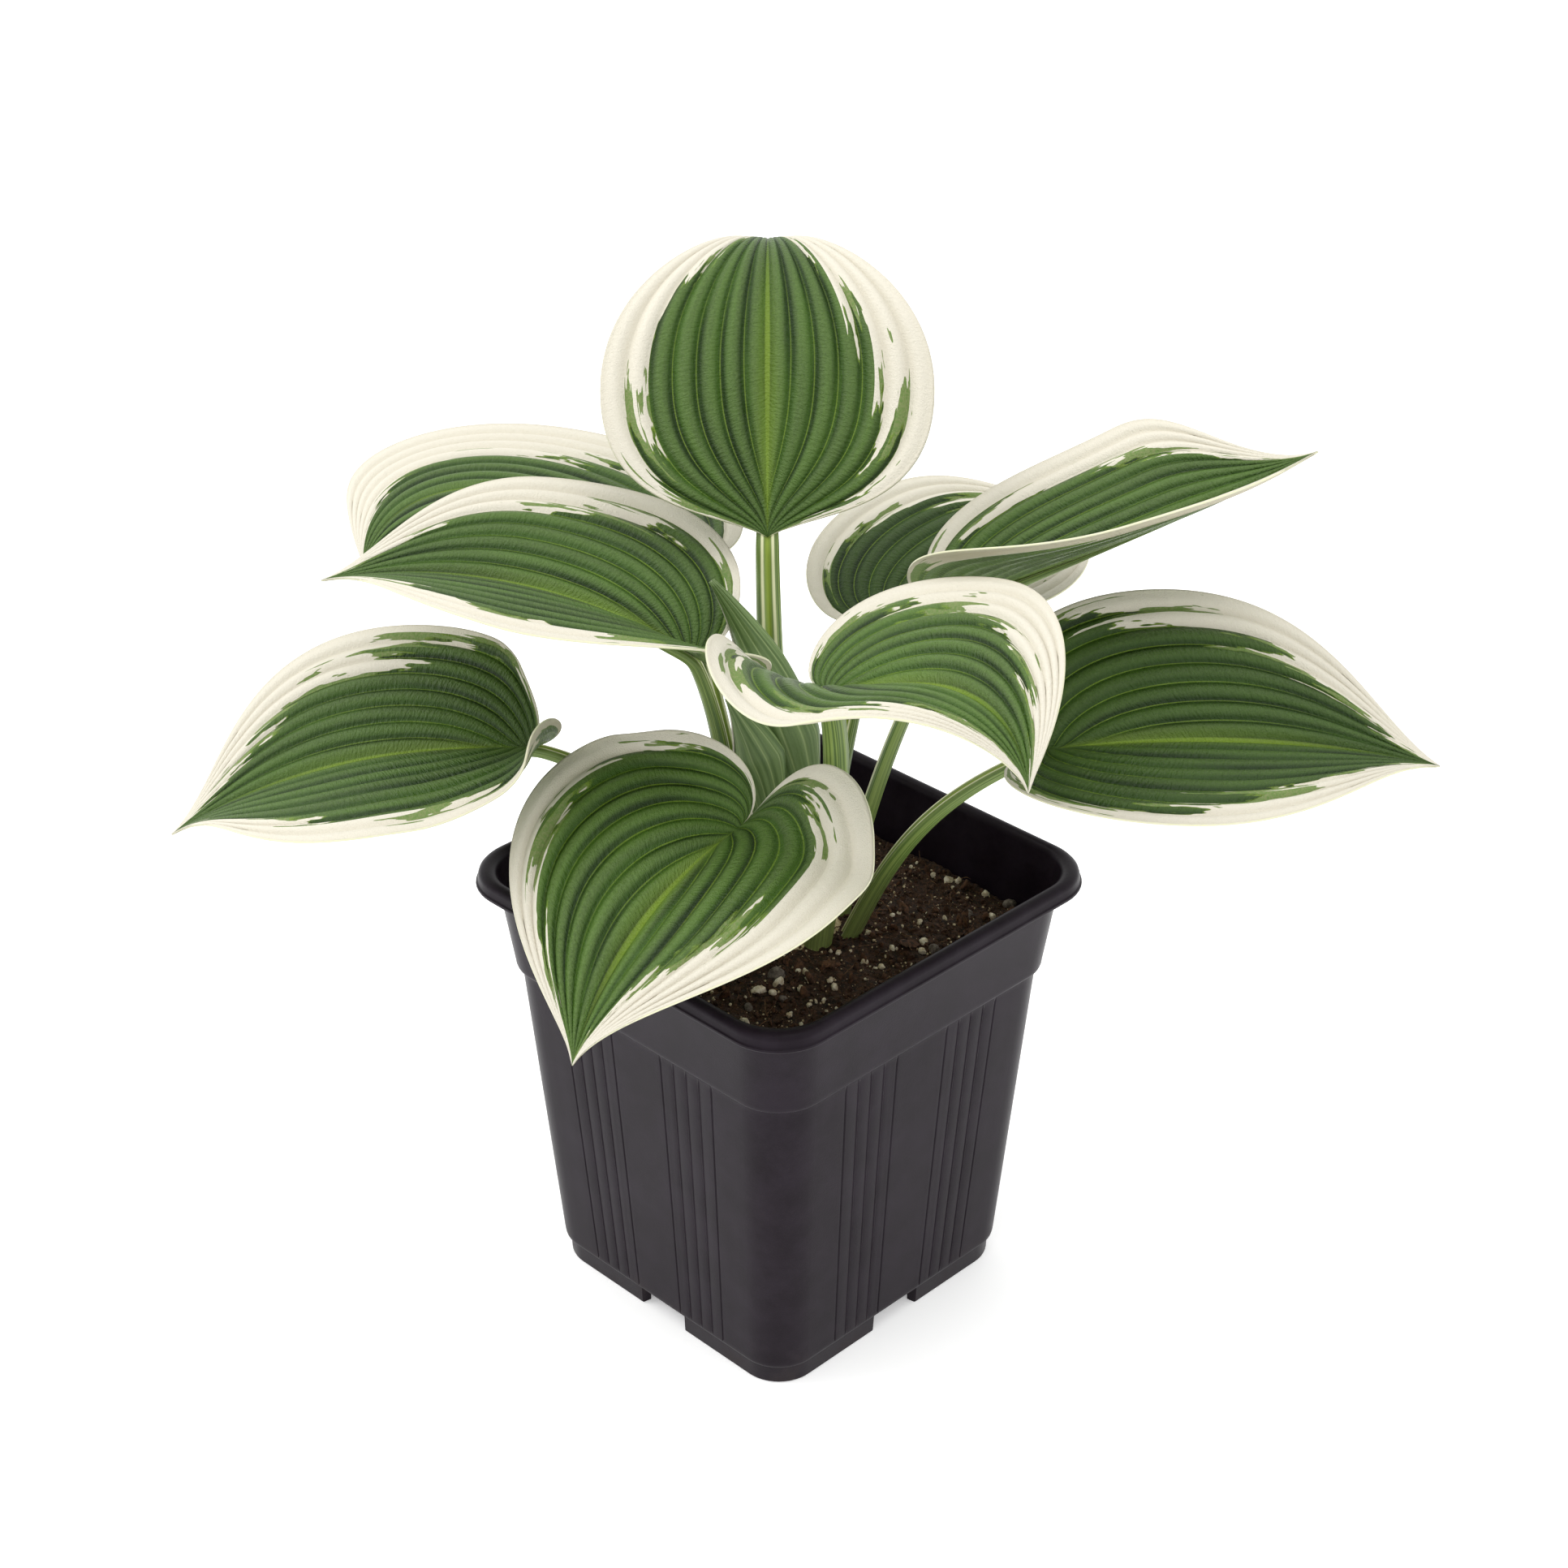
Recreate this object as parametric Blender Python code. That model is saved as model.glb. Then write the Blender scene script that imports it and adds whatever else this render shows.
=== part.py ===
"""Potted hosta: a square nursery pot, its potting soil, the crown with its roots, nine grown
leaves on their stems and two young leaves that are still rolled up.

Metres, +Z up. The origin is on the pot's middle line, on the surface that the pot stands on,
and the pot's sides face along X and Y. Leaf sizes are in millimetres and degrees, and headings
are counted from +X towards +Y.
"""
from math import cos, pi, radians, sin

import bmesh
import bpy
from mathutils import Matrix, Vector
import numpy as np

MM = 0.001
GAP = 0.0003  # clearance kept between pieces that touch

# Pot: a "half" is half the width across flats at that height.
POT_HEIGHT = 0.186
FOOT_HEIGHT = 0.0095  # the body overhangs its foot above this height
COLLAR_Z = 0.143  # the step between the tapered body and the collar
FLANGE_Z = 0.179  # lower edge of the rolled rim
WALL = 0.0015
FLOOR_LOW = 0.0076
FLOOR_TOP = 0.0096
FOOT_HALF = 0.0661
FOOT_FLARE = 0.0003  # the foot gets this much wider towards the body
FOOT_WIDTH = 0.004
BODY_LOW_HALF = 0.0678
BODY_TOP_HALF = 0.0775
COLLAR_LOW_HALF = 0.0792
COLLAR_TOP_HALF = 0.0833
RIM_HALF = 0.090
FOOT_RADIUS = 0.017
RIM_RADIUS = 0.020
CORNER_STEPS = 6
EASE = 0.0006  # the small rounding of an edge
STEP = 0.001  # the height over which one slope turns into the next

RIB_FIRST = 0.18  # each side has two bands of ribs, placed as shares of its half width
RIB_LAST = 0.54
RIB_COUNT = 6
RIB_HEIGHT = 0.0007
RIB_WIDTH = 0.0020  # from the crest to the foot inside the wall

FOOT_PIECES = {"near_foot": (1, -1), "right_foot": (1, 1), "back_foot": (-1, 1),
               "left_foot": (-1, -1)}  # the corner that each piece of the foot stands on

NOTCH_WIDTH = 0.026  # the opening between two pieces of the foot
DRAIN_RADIUS = 0.006
DRAIN_OFFSET = 0.040

SOIL_EDGE_Z = 0.159
SOIL_TOP_Z = 0.164
SOIL_FLAT_HALF = 0.060  # the edge of the mound's slope
SOIL_CREST_HALF = 0.034  # the edge of the mound's flat top

CROWN_MIDDLE = (0.004, 0.0, 0.150)
CROWN_RADIUS = 0.029
CROWN_HEIGHT = 0.019
ROOT_COUNT = 10
ROOT_RADIUS = 0.0022
ROOT_END_RADIUS = 0.0010
ROOT_START = 0.012  # where a root begins, out from the crown's middle
ROOT_REACH = (0.040, 0.008)  # how far out roots go: the least, and the step between lengths
ROOT_DEPTH = (0.080, 0.018)  # how far down they go, in the same way
ROOT_BEND = 0.4  # the share of the depth where a root turns down
ROOT_STEPS = 9
ROOT_TUCK = 0.006  # how far a root's end leans back in

BLADE_THICKNESS = 0.0009
BLADE_STEPS_ALONG = 14
BLADE_STEPS_ACROSS = 8
STEM_SIDES = 8
STEM_STEPS = 12
STEM_SOCKET = 0.008  # how deep a stem sits in the crown

# One dictionary for each grown leaf, named after its place. Lengths in millimetres.
#   base: the point where stem and blade meet; length: from there to the tip
#   half: half the width, as a share of the length; wide: how far along it is widest
#   lobe: how far each half (left, right) reaches back past the base
#   tip, sinus, shoulder: the outline's fullness at the tip, the base and the front
#   head, sweep: heading at the base, and how much it turns towards the tip
#   pitch, bend, droop: rise at the base, its even change and its late change
#   rear: how much the pitch changes behind the base, where a negative value raises the lobes
#   roll: tilt about the midrib
#   lift, curl: how each half (left, right) rises from the midrib, and how that changes outwards
#   funnel, reach: how much steeper both halves stand at the base, and how far that reaches
#   foot, start, end: the stem's lower end, and the two handles of its curve
#   thick: the stem's radius at its lower and upper end
PLAIN = dict(lobe=(0.16, 0.16), wide=0.36, tip=0.12, sinus=0.06, shoulder=0.5, sweep=0, bend=0,
             droop=0, rear=0, roll=0, lift=(15, 15), curl=(-10, -10), funnel=(10, 10), reach=0.5,
             thick=(4.5, 2.8))
LEAVES = {
    "front": dict(
        base=(27, -46, 234), length=112, half=0.66, wide=0.2, shoulder=0.48, lobe=(0.38, 0.26),
        sinus=0, head=-91, sweep=18, pitch=-5, bend=-54, rear=-40, roll=-1, lift=(16, 16),
        curl=(-14, -16), funnel=(0, 5), foot=(10, -19), start=(4, -6, 26), end=(-2, -14, 16)),
    "top": dict(
        base=(-24, 18, 312), length=153, half=0.41, lobe=(-0.05, -0.05), sinus=0.3, head=135,
        pitch=65, droop=-125, lift=(5, 5), foot=(-12, 13), start=(-3, 2, 60), end=(-2, 2, 50),
        thick=(5.5, 4)),
    "right": dict(
        base=(97, 40, 259), length=145, half=0.44, lobe=(0.14, 0.14), tip=0.2, wide=0.32,
        shoulder=0.55, head=43, pitch=12, bend=-27, roll=17, lift=(19, 22), foot=(26, 9),
        start=(14, 9, 40), end=(34, 32, 22)),
    "left": dict(
        base=(-61, -73, 243), length=142, half=0.45, lobe=(0.2, 0.08), wide=0.38, shoulder=0.6,
        head=-130, pitch=10, bend=-45, rear=-45, roll=-14, lift=(23, 12), curl=(-15, -10),
        funnel=(45, 10), reach=0.3, foot=(-5, -17), start=(-8, -4, 40), end=(-28, -26, 8)),
    "centre": dict(
        base=(50, -25, 291), length=115, half=0.55, wide=0.22, lobe=(0.2, 0.25), head=5, sweep=-30,
        pitch=25, droop=-105, roll=-8, lift=(34, 2), curl=(-20, -10), funnel=(10, 62),
        reach=0.4, foot=(23, -3), start=(3, 5, 44), end=(8, -18, 40),
        thick=(6, 4)),
    "upleft": dict(
        base=(-23, -23, 278), length=145, half=0.44, lobe=(0.22, 0.08), shoulder=0.6, head=-140,
        pitch=35, bend=-50, roll=-10, lift=(26, 15), curl=(-10, -20), funnel=(45, 30),
        foot=(-14, -8), start=(-2, -2, 50), end=(-6, -14, 36), thick=(5, 3)),
    "upright": dict(
        base=(37, 65, 292), length=141, half=0.40, wide=0.50, head=35, sweep=35, pitch=30,
        bend=-12, roll=7, lift=(15, 37), curl=(-5, -5), funnel=(20, 40), foot=(14, 18),
        start=(2, 12, 50), end=(8, 26, 30)),
    "backright": dict(
        base=(-13, 70, 266), length=115, half=0.45, lobe=(0.2, 0.1), head=80, pitch=22, bend=-35,
        roll=8, lift=(14, 14), curl=(-10, -5), foot=(0, 20), start=(-2, 14, 50),
        end=(-2, 20, 30)),
    "backleft": dict(
        base=(-72, 14, 292), length=144, half=0.43, tip=0.5, shoulder=0.9, wide=0.42, head=-164,
        sweep=85, pitch=15, droop=-80, lift=(0, 0), curl=(-10, 0), foot=(-18, 2),
        start=(-8, 2, 60), end=(-22, 4, 40)),
}

# Young leaves: the points of their middle line, and (share of the length, half width) pairs.
# They are rolled flat: their thickness is this share of their width.
YOUNG_FLATNESS = 0.5
YOUNG = {
    "tall": dict(points=[(5, 4, 158), (5, 12, 205), (-3, 12, 260), (-22, -13, 305)],
                 girth=[(0, 4.5), (0.3, 6), (0.55, 13), (0.75, 9), (0.9, 4), (1, 1)]),
    "short": dict(points=[(1, -8, 158), (-3, -5, 205), (2, -1, 235), (-10, -17, 262)],
                  girth=[(0, 4), (0.35, 5), (0.7, 10), (0.85, 6), (1, 1)]),
}

COLOURS = {
    "pot": ((0.035, 0.033, 0.037), 0.45),
    "soil": ((0.035, 0.022, 0.014), 0.95),
    "crown": ((0.55, 0.50, 0.34), 0.7),
    "blade": ((0.07, 0.16, 0.045), 0.5),
    "stem": ((0.22, 0.33, 0.09), 0.45),
}


def clear_scene():
    for obj in list(bpy.data.objects):
        bpy.data.objects.remove(obj)


def material(name):
    """A Principled material in one of the plant's or the pot's colours."""
    made = bpy.data.materials.get(name)
    if made is None:
        made = bpy.data.materials.new(name)
        made.use_nodes = True
        colour, roughness = COLOURS[name]
        shader = made.node_tree.nodes["Principled BSDF"]
        shader.inputs["Base Color"].default_value = (*colour, 1)
        shader.inputs["Roughness"].default_value = roughness
        shader.inputs["Metallic"].default_value = 0
    return made


def finish(bm, name, finish_name, helper=False):
    """Closes the bmesh into an object with its normals outwards."""
    bmesh.ops.recalc_face_normals(bm, faces=bm.faces)
    mesh = bpy.data.meshes.new(name)
    bm.to_mesh(mesh)
    bm.free()
    mesh.materials.append(material(finish_name))
    obj = bpy.data.objects.new(name, mesh)
    bpy.context.scene.collection.objects.link(obj)
    mesh.shade_smooth()
    mesh.set_sharp_from_angle(angle=radians(35))
    if helper:
        obj.hide_render = True
        obj.display_type = "WIRE"
    return obj


def boolean(obj, operation, other):
    step = obj.modifiers.new(operation.lower() + "_" + other.name, "BOOLEAN")
    step.operation = operation
    step.solver = "EXACT"
    step.object = other


# ---------------------------------------------------------------- pot

def square_ring(half, radius, z):
    """Points round a square with round corners, anticlockwise."""
    points = []
    straight = half - radius
    for side in range(4):
        turn = Matrix.Rotation(side * pi / 2, 3, "Z")
        for angle in np.linspace(0, pi / 2, CORNER_STEPS + 1):
            corner = (straight + radius * cos(angle), straight + radius * sin(angle), z)
            points.append(turn @ Vector(corner))
    return points


def skin(bm, rings):
    """Joins rings of points, each with as many as the last, into one closed shell."""
    loops = [[bm.verts.new(point) for point in ring] for ring in rings]
    for low, high in zip(loops, loops[1:]):
        for i, corner in enumerate(low):
            after = (i + 1) % len(low)
            bm.faces.new((corner, low[after], high[after], high[i]))
    bm.faces.new(loops[0])
    bm.faces.new(loops[-1])


def pot_sections():
    """(half, corner radius, height) from the floor's underside round to its top."""
    body_top = COLLAR_Z - 2 * EASE
    rim_low, rim_top = FLANGE_Z, POT_HEIGHT
    crest = RIM_HALF - 4 * EASE
    return [
        (FOOT_HALF + FOOT_FLARE, FOOT_RADIUS, FLOOR_LOW),
        (FOOT_HALF + FOOT_FLARE, FOOT_RADIUS, FOOT_HEIGHT - STEP),
        (BODY_LOW_HALF, FOOT_RADIUS + STEP, FOOT_HEIGHT),
        (BODY_LOW_HALF + 0.2 * STEP, FOOT_RADIUS + STEP, FOOT_HEIGHT + 2 * STEP),
        (BODY_TOP_HALF - 0.2 * STEP, RIM_RADIUS - 2 * STEP, body_top - 2 * STEP),
        (BODY_TOP_HALF, RIM_RADIUS - 2 * STEP, body_top),
        (COLLAR_LOW_HALF, RIM_RADIUS - STEP, COLLAR_Z),
        (COLLAR_TOP_HALF, RIM_RADIUS - STEP, rim_low - STEP),
        (RIM_HALF - 2 * EASE, RIM_RADIUS + 2 * STEP, rim_low - STEP),
        (RIM_HALF, RIM_RADIUS + 3 * STEP, rim_low),
        (RIM_HALF - EASE, RIM_RADIUS + 3 * STEP, rim_low + 2 * EASE),
        (RIM_HALF - 2 * EASE, RIM_RADIUS + 2 * STEP, rim_top - 3 * EASE),
        (crest, RIM_RADIUS + STEP, rim_top),
        (crest - 2 * STEP, RIM_RADIUS - STEP, rim_top),
        (crest - 4 * STEP, RIM_RADIUS - 2 * STEP, rim_top - 3 * EASE),
        (COLLAR_TOP_HALF - WALL, RIM_RADIUS - 2 * STEP, rim_low - 3 * STEP),
        (COLLAR_LOW_HALF - WALL, RIM_RADIUS - 2 * STEP, COLLAR_Z + STEP),
        (BODY_TOP_HALF - WALL, RIM_RADIUS - 3 * STEP, COLLAR_Z - STEP),
        (BODY_LOW_HALF - WALL, FOOT_RADIUS, FLOOR_TOP),
    ]


def make_pot():
    bm = bmesh.new()
    skin(bm, [square_ring(*section) for section in pot_sections()])
    pot = finish(bm, "nursery_pot", "pot")
    boolean(pot, "UNION", make_ribs())
    for number in range(4):
        boolean(pot, "DIFFERENCE", drain_cutter(number))


def make_foot(name, corner):
    """One corner of the foot: a low angle between two notches, a hair below the floor."""
    top = FLOOR_LOW - GAP
    bm = bmesh.new()
    bmesh.ops.create_cube(bm, size=1)
    bmesh.ops.scale(bm, vec=(RIM_HALF, RIM_HALF, POT_HEIGHT), verts=bm.verts)
    middle = NOTCH_WIDTH / 2 + RIM_HALF / 2
    bmesh.ops.translate(bm, vec=(corner[0] * middle, corner[1] * middle, 0), verts=bm.verts)
    corner_box = finish(bm, name + "_box", "pot", helper=True)
    bm = bmesh.new()
    skin(bm, [square_ring(FOOT_HALF - EASE, FOOT_RADIUS, 0),
              square_ring(FOOT_HALF, FOOT_RADIUS, EASE),
              square_ring(FOOT_HALF + FOOT_FLARE, FOOT_RADIUS, top)])
    foot = finish(bm, name, "pot")
    bm = bmesh.new()
    skin(bm, [square_ring(FOOT_HALF - FOOT_WIDTH, FOOT_RADIUS - FOOT_WIDTH, z)
              for z in (-POT_HEIGHT, POT_HEIGHT)])
    boolean(foot, "DIFFERENCE", finish(bm, name + "_inside", "pot", helper=True))
    boolean(foot, "INTERSECT", corner_box)


def make_ribs():
    """Two bands of upright ribs on each side, which narrow with the body towards the foot."""
    bm = bmesh.new()
    low, high = FOOT_HEIGHT + STEP, COLLAR_Z - 3 * STEP
    halves = [np.interp(z, (FOOT_HEIGHT, COLLAR_Z), (BODY_LOW_HALF, BODY_TOP_HALF))
              for z in (low, high)]
    shares = np.linspace(RIB_FIRST, RIB_LAST, RIB_COUNT)
    for side in range(4):
        turn = Matrix.Rotation(side * pi / 2, 3, "Z")
        for share in np.r_[-shares, shares]:
            rings = [rib_section(half, share, z) for half, z in zip(halves, (low, high))]
            skin(bm, [[turn @ Vector(point) for point in ring] for ring in rings])
    return finish(bm, "ribs", "pot", helper=True)


def rib_section(half, share, z):
    """A rib's triangle at one height: its crest outside the wall, its foot inside it."""
    foot = half - RIB_HEIGHT
    along = share * half
    return [(foot, along - RIB_WIDTH, z), (half + RIB_HEIGHT, along, z),
            (foot, along + RIB_WIDTH, z)]


def drain_cutter(number):
    """A round hole through the floor, half way out to one side."""
    bm = bmesh.new()
    bmesh.ops.create_cone(bm, cap_ends=True, segments=20, radius1=DRAIN_RADIUS,
                          radius2=DRAIN_RADIUS, depth=FLOOR_TOP * 2)
    bmesh.ops.translate(bm, vec=(DRAIN_OFFSET, 0, FLOOR_LOW), verts=bm.verts)
    bmesh.ops.rotate(bm, matrix=Matrix.Rotation(number * pi / 2, 3, "Z"), verts=bm.verts)
    return finish(bm, f"drain_cutter_{number}", "pot", helper=True)


# ---------------------------------------------------------------- tubes

def bezier(points, steps):
    """Points on the cubic curve through four control points."""
    t = np.linspace(0, 1, steps + 1)[:, None]
    a, b, c, d = (np.array(p, float) for p in points)
    return (1 - t) ** 3 * a + 3 * (1 - t) ** 2 * t * b + 3 * (1 - t) * t * t * c + t ** 3 * d


def add_tube(bm, line, radii, flatness=1.0, sides=STEM_SIDES):
    """A closed tube along a line of points, with one half width for each point."""
    across = Vector((1, 1, 0)).normalized()
    rings = []
    for i, point in enumerate(line):
        along = Vector(line[min(i + 1, len(line) - 1)] - line[max(i - 1, 0)]).normalized()
        across = (across - along * across.dot(along)).normalized()
        other = along.cross(across)
        ring = [Vector(point) + radii[i] * (across * cos(a) + other * flatness * sin(a))
                for a in np.arange(sides) * 2 * pi / sides]
        rings.append(ring)
    skin(bm, rings)


def grown(line, extra):
    """The line made longer at both ends by extra."""
    line = np.array(line)
    start = line[0] - line[1]
    end = line[-1] - line[-2]
    line[0] += start / np.linalg.norm(start) * extra
    line[-1] += end / np.linalg.norm(end) * extra
    return line


def tube(name, finish_name, line, radii, flatness=1.0, extra=0.0, helper=False):
    """A tube piece, or its cutter where extra is the clearance round it."""
    bm = bmesh.new()
    wider = [float(r) + extra / flatness for r in radii]
    add_tube(bm, grown(line, extra) if extra else line, wider, flatness)
    return finish(bm, name, finish_name, helper)


# ---------------------------------------------------------------- leaves

def outline(leaf, lobe, steps=300):
    """The flat margin from base to tip for a blade one unit long, and the share run so far."""
    wide, half = leaf["wide"], leaf["half"]
    back = bezier([(0, 0), (-1.35 * lobe, leaf["sinus"] * half), (-0.95 * lobe, half),
                   (wide, half)], steps)
    front = bezier([(wide, half), (wide + leaf["shoulder"] * (1 - wide), half),
                    (0.8, leaf["tip"] * half), (1, 0)], steps)
    line = np.vstack([back, front[1:]])
    run = np.r_[0, np.cumsum(np.hypot(*np.diff(line, axis=0).T))]
    return run / run[-1], line


def spine(leaf):
    """The midrib's points with its side and upward directions, at shares of the length."""
    share = np.linspace(-0.4, 1.02, 285)
    ahead = np.maximum(share, 0)
    behind = np.clip((0.10 - share) / 0.25, 0, 1)
    pitch = np.radians(leaf["pitch"] + leaf["bend"] * ahead + leaf["droop"] * ahead ** 3
                       + leaf["rear"] * behind ** 2 * (3 - 2 * behind))
    head = np.radians(leaf["head"] + leaf["sweep"] * ahead ** 2)
    level = np.stack([np.cos(head), np.sin(head), 0 * head], -1)
    left = np.stack([-np.sin(head), np.cos(head), 0 * head], -1)
    up = np.array([0, 0, 1])
    along = level * np.cos(pitch)[:, None] + up * np.sin(pitch)[:, None]
    normal = up * np.cos(pitch)[:, None] - level * np.sin(pitch)[:, None]
    tilt = radians(leaf["roll"])
    side = left * cos(tilt) + normal * sin(tilt)
    normal = normal * cos(tilt) - left * sin(tilt)
    steps = np.diff(share)[:, None] * leaf["length"] * MM
    line = np.vstack([[0, 0, 0], np.cumsum((along[1:] + along[:-1]) / 2 * steps, 0)])
    start = np.array([np.interp(0, share, line[:, i]) for i in range(3)])
    return share, line - start + np.array(leaf["base"]) * MM, side, normal


def blade_points(leaf, along, across):
    """Places on the blade: along runs 0 to 1 from base to tip, across -1 to 1, left positive."""
    leaf = {**PLAIN, **leaf}
    left = across >= 0
    out = np.abs(across)
    margins = [outline(leaf, lobe) for lobe in leaf["lobe"]]
    edge_x, edge_y = (np.where(left, *(np.interp(along, run, line[:, i]) for run, line in margins))
                      for i in (0, 1))
    x = (1 - out) * along + out * edge_x
    y = out * edge_y / leaf["half"]
    share, line, side, normal = spine(leaf)
    at = [np.stack([np.interp(x, share, table[:, i]) for i in range(3)], -1)
          for table in (line, side, normal)]
    lift = np.radians(np.where(left, *leaf["lift"]))
    curl = np.radians(np.where(left, *leaf["curl"]))
    lobe = np.where(left, *leaf["lobe"])
    near_base = np.clip((leaf["reach"] - x) / (leaf["reach"] + lobe), 0, 1) ** 2
    lift = lift + np.radians(np.where(left, *leaf["funnel"])) * near_base
    parts = (np.arange(24) + 0.5) / 24
    angle = lift[..., None] + (curl * y)[..., None] * parts
    width = leaf["half"] * leaf["length"] * MM * y
    sideways = np.where(left, 1, -1) * np.cos(angle).mean(-1) * width
    upwards = np.sin(angle).mean(-1) * width
    return at[0] + at[1] * sideways[..., None] + at[2] * upwards[..., None]


def make_blade(name, leaf):
    """A thin closed solid with the blade's folds, bends and outline."""
    bm = bmesh.new()
    bmesh.ops.create_grid(bm, x_segments=BLADE_STEPS_ALONG, y_segments=BLADE_STEPS_ACROSS,
                          size=1)
    bm.verts.ensure_lookup_table()
    grid = np.array([v.co for v in bm.verts])
    points = blade_points(leaf, (grid[:, 0] + 1) / 2, grid[:, 1])
    for vert, point in zip(bm.verts, points):
        vert.co = point
    bmesh.ops.remove_doubles(bm, verts=bm.verts, dist=1e-5)
    bmesh.ops.recalc_face_normals(bm, faces=bm.faces)
    blade = finish(bm, name + "_leaf_blade", "blade")
    thick = blade.modifiers.new("thickness", "SOLIDIFY")
    thick.thickness = BLADE_THICKNESS
    thick.offset = 0
    return blade


def stem_line(leaf):
    """The stem's middle line, from its socket in the crown into the blade's base."""
    leaf = {**PLAIN, **leaf}
    foot = np.array([*leaf["foot"], SOIL_TOP_Z / MM - STEM_SOCKET / MM])
    base = np.array(leaf["base"], float)
    curve = [foot, foot + leaf["start"], base - leaf["end"], base]
    line = bezier(curve, STEM_STEPS) * MM
    low, high = leaf["thick"]
    return line, np.linspace(low, high, len(line)) * MM


def young_line(young):
    line = bezier(young["points"], STEM_STEPS) * MM
    share, girth = zip(*young["girth"])
    return line, np.interp(np.linspace(0, 1, len(line)), share, girth) * MM


# ---------------------------------------------------------------- below the surface

def crown_lump(name, extra, helper):
    bm = bmesh.new()
    bmesh.ops.create_uvsphere(bm, u_segments=20, v_segments=10, radius=1)
    size = (CROWN_RADIUS + extra, CROWN_RADIUS + extra, CROWN_HEIGHT + extra)
    bmesh.ops.scale(bm, vec=size, verts=bm.verts)
    bmesh.ops.translate(bm, vec=CROWN_MIDDLE, verts=bm.verts)
    return finish(bm, name, "crown", helper=helper)


def root_line(number):
    """One fleshy root: out from the crown, then down towards the pot's foot."""
    turn = 2 * pi * (number + 0.5) / ROOT_COUNT
    out = Vector((cos(turn), sin(turn), 0))
    down = Vector((0, 0, -1))
    middle = Vector(CROWN_MIDDLE)
    reach = ROOT_REACH[0] + ROOT_REACH[1] * (number % 3)
    depth = ROOT_DEPTH[0] + ROOT_DEPTH[1] * (number % 4)
    points = [middle + out * ROOT_START, middle + out * reach,
              middle + out * reach + down * depth * ROOT_BEND,
              middle + out * (reach - ROOT_TUCK) + down * depth]
    line = bezier(points, ROOT_STEPS)
    return line, np.linspace(ROOT_RADIUS, ROOT_END_RADIUS, len(line))


def make_soil():
    """The soil fills the pot up to a low mound round the crown."""
    inner_low = BODY_LOW_HALF - WALL - GAP
    inner_top = BODY_TOP_HALF - WALL - GAP
    collar = COLLAR_LOW_HALF - WALL - GAP
    slope = (COLLAR_TOP_HALF - COLLAR_LOW_HALF) / (FLANGE_Z - COLLAR_Z)
    edge = collar + slope * (SOIL_EDGE_Z - COLLAR_Z - 4 * STEP)
    sections = [
        (inner_low, FOOT_RADIUS, FLOOR_TOP + GAP),
        (inner_top, RIM_RADIUS - 3 * STEP, COLLAR_Z - STEP),
        (collar, RIM_RADIUS - 2 * STEP, COLLAR_Z + 2 * STEP),
        (edge, RIM_RADIUS - 2 * STEP, SOIL_EDGE_Z),
        (SOIL_FLAT_HALF, RIM_RADIUS, SOIL_EDGE_Z + 2 * STEP),
        (SOIL_CREST_HALF, RIM_RADIUS, SOIL_TOP_Z),
    ]
    bm = bmesh.new()
    skin(bm, [square_ring(*section) for section in sections])
    return finish(bm, "potting_soil", "soil")


def main():
    clear_scene()
    make_pot()
    for name, corner in FOOT_PIECES.items():
        make_foot(name, corner)
    soil = make_soil()
    crown = crown_lump("crown_and_roots", 0, False)
    boolean(soil, "DIFFERENCE", crown_lump("crown_cutter", GAP, True))
    for number in range(ROOT_COUNT):
        line, radii = root_line(number)
        root = tube(f"root_{number}", "crown", line, radii, helper=True)
        boolean(crown, "UNION", root)
        tunnel = tube(f"root_cutter_{number}", "crown", line, radii, extra=GAP, helper=True)
        boolean(soil, "DIFFERENCE", tunnel)
    stems = {name + "_leaf_stem": (*stem_line(leaf), 1.0) for name, leaf in LEAVES.items()}
    stems.update({name + "_young_leaf": (*young_line(leaf), YOUNG_FLATNESS)
                  for name, leaf in YOUNG.items()})
    for name, (line, radii, flatness) in stems.items():
        tube(name, "stem", line, radii, flatness)
        cutter = tube(name + "_cutter", "stem", line, radii, flatness, GAP, helper=True)
        boolean(crown, "DIFFERENCE", cutter)
        boolean(soil, "DIFFERENCE", cutter)
    for name, leaf in LEAVES.items():
        blade = make_blade(name, leaf)
        boolean(blade, "DIFFERENCE", bpy.data.objects[name + "_leaf_stem_cutter"])


main()
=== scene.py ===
"""Looks of the potted hosta: pleated cream-edged leaves on channelled stems, potting soil with
perlite, and a ribbed nursery pot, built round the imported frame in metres."""
from math import cos, pi, radians, sin
import random

import bmesh
import bpy
from mathutils import Euler, Matrix, Vector, noise
import numpy as np


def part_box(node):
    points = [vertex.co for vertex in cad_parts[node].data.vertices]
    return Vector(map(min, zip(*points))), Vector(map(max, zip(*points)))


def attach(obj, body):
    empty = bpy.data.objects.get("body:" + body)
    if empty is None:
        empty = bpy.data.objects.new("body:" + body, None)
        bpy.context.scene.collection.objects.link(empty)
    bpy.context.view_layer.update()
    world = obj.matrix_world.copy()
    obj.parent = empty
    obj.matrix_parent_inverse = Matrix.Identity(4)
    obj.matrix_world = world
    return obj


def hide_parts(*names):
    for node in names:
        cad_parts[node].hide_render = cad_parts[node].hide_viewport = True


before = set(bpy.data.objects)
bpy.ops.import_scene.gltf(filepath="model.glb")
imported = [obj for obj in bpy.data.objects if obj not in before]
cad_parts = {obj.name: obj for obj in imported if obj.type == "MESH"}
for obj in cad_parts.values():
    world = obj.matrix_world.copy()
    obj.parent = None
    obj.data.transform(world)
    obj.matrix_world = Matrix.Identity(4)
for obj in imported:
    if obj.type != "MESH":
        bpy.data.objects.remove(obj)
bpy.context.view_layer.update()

MM = 0.001

# ---------------------------------------------------------------- camera and light

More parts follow.
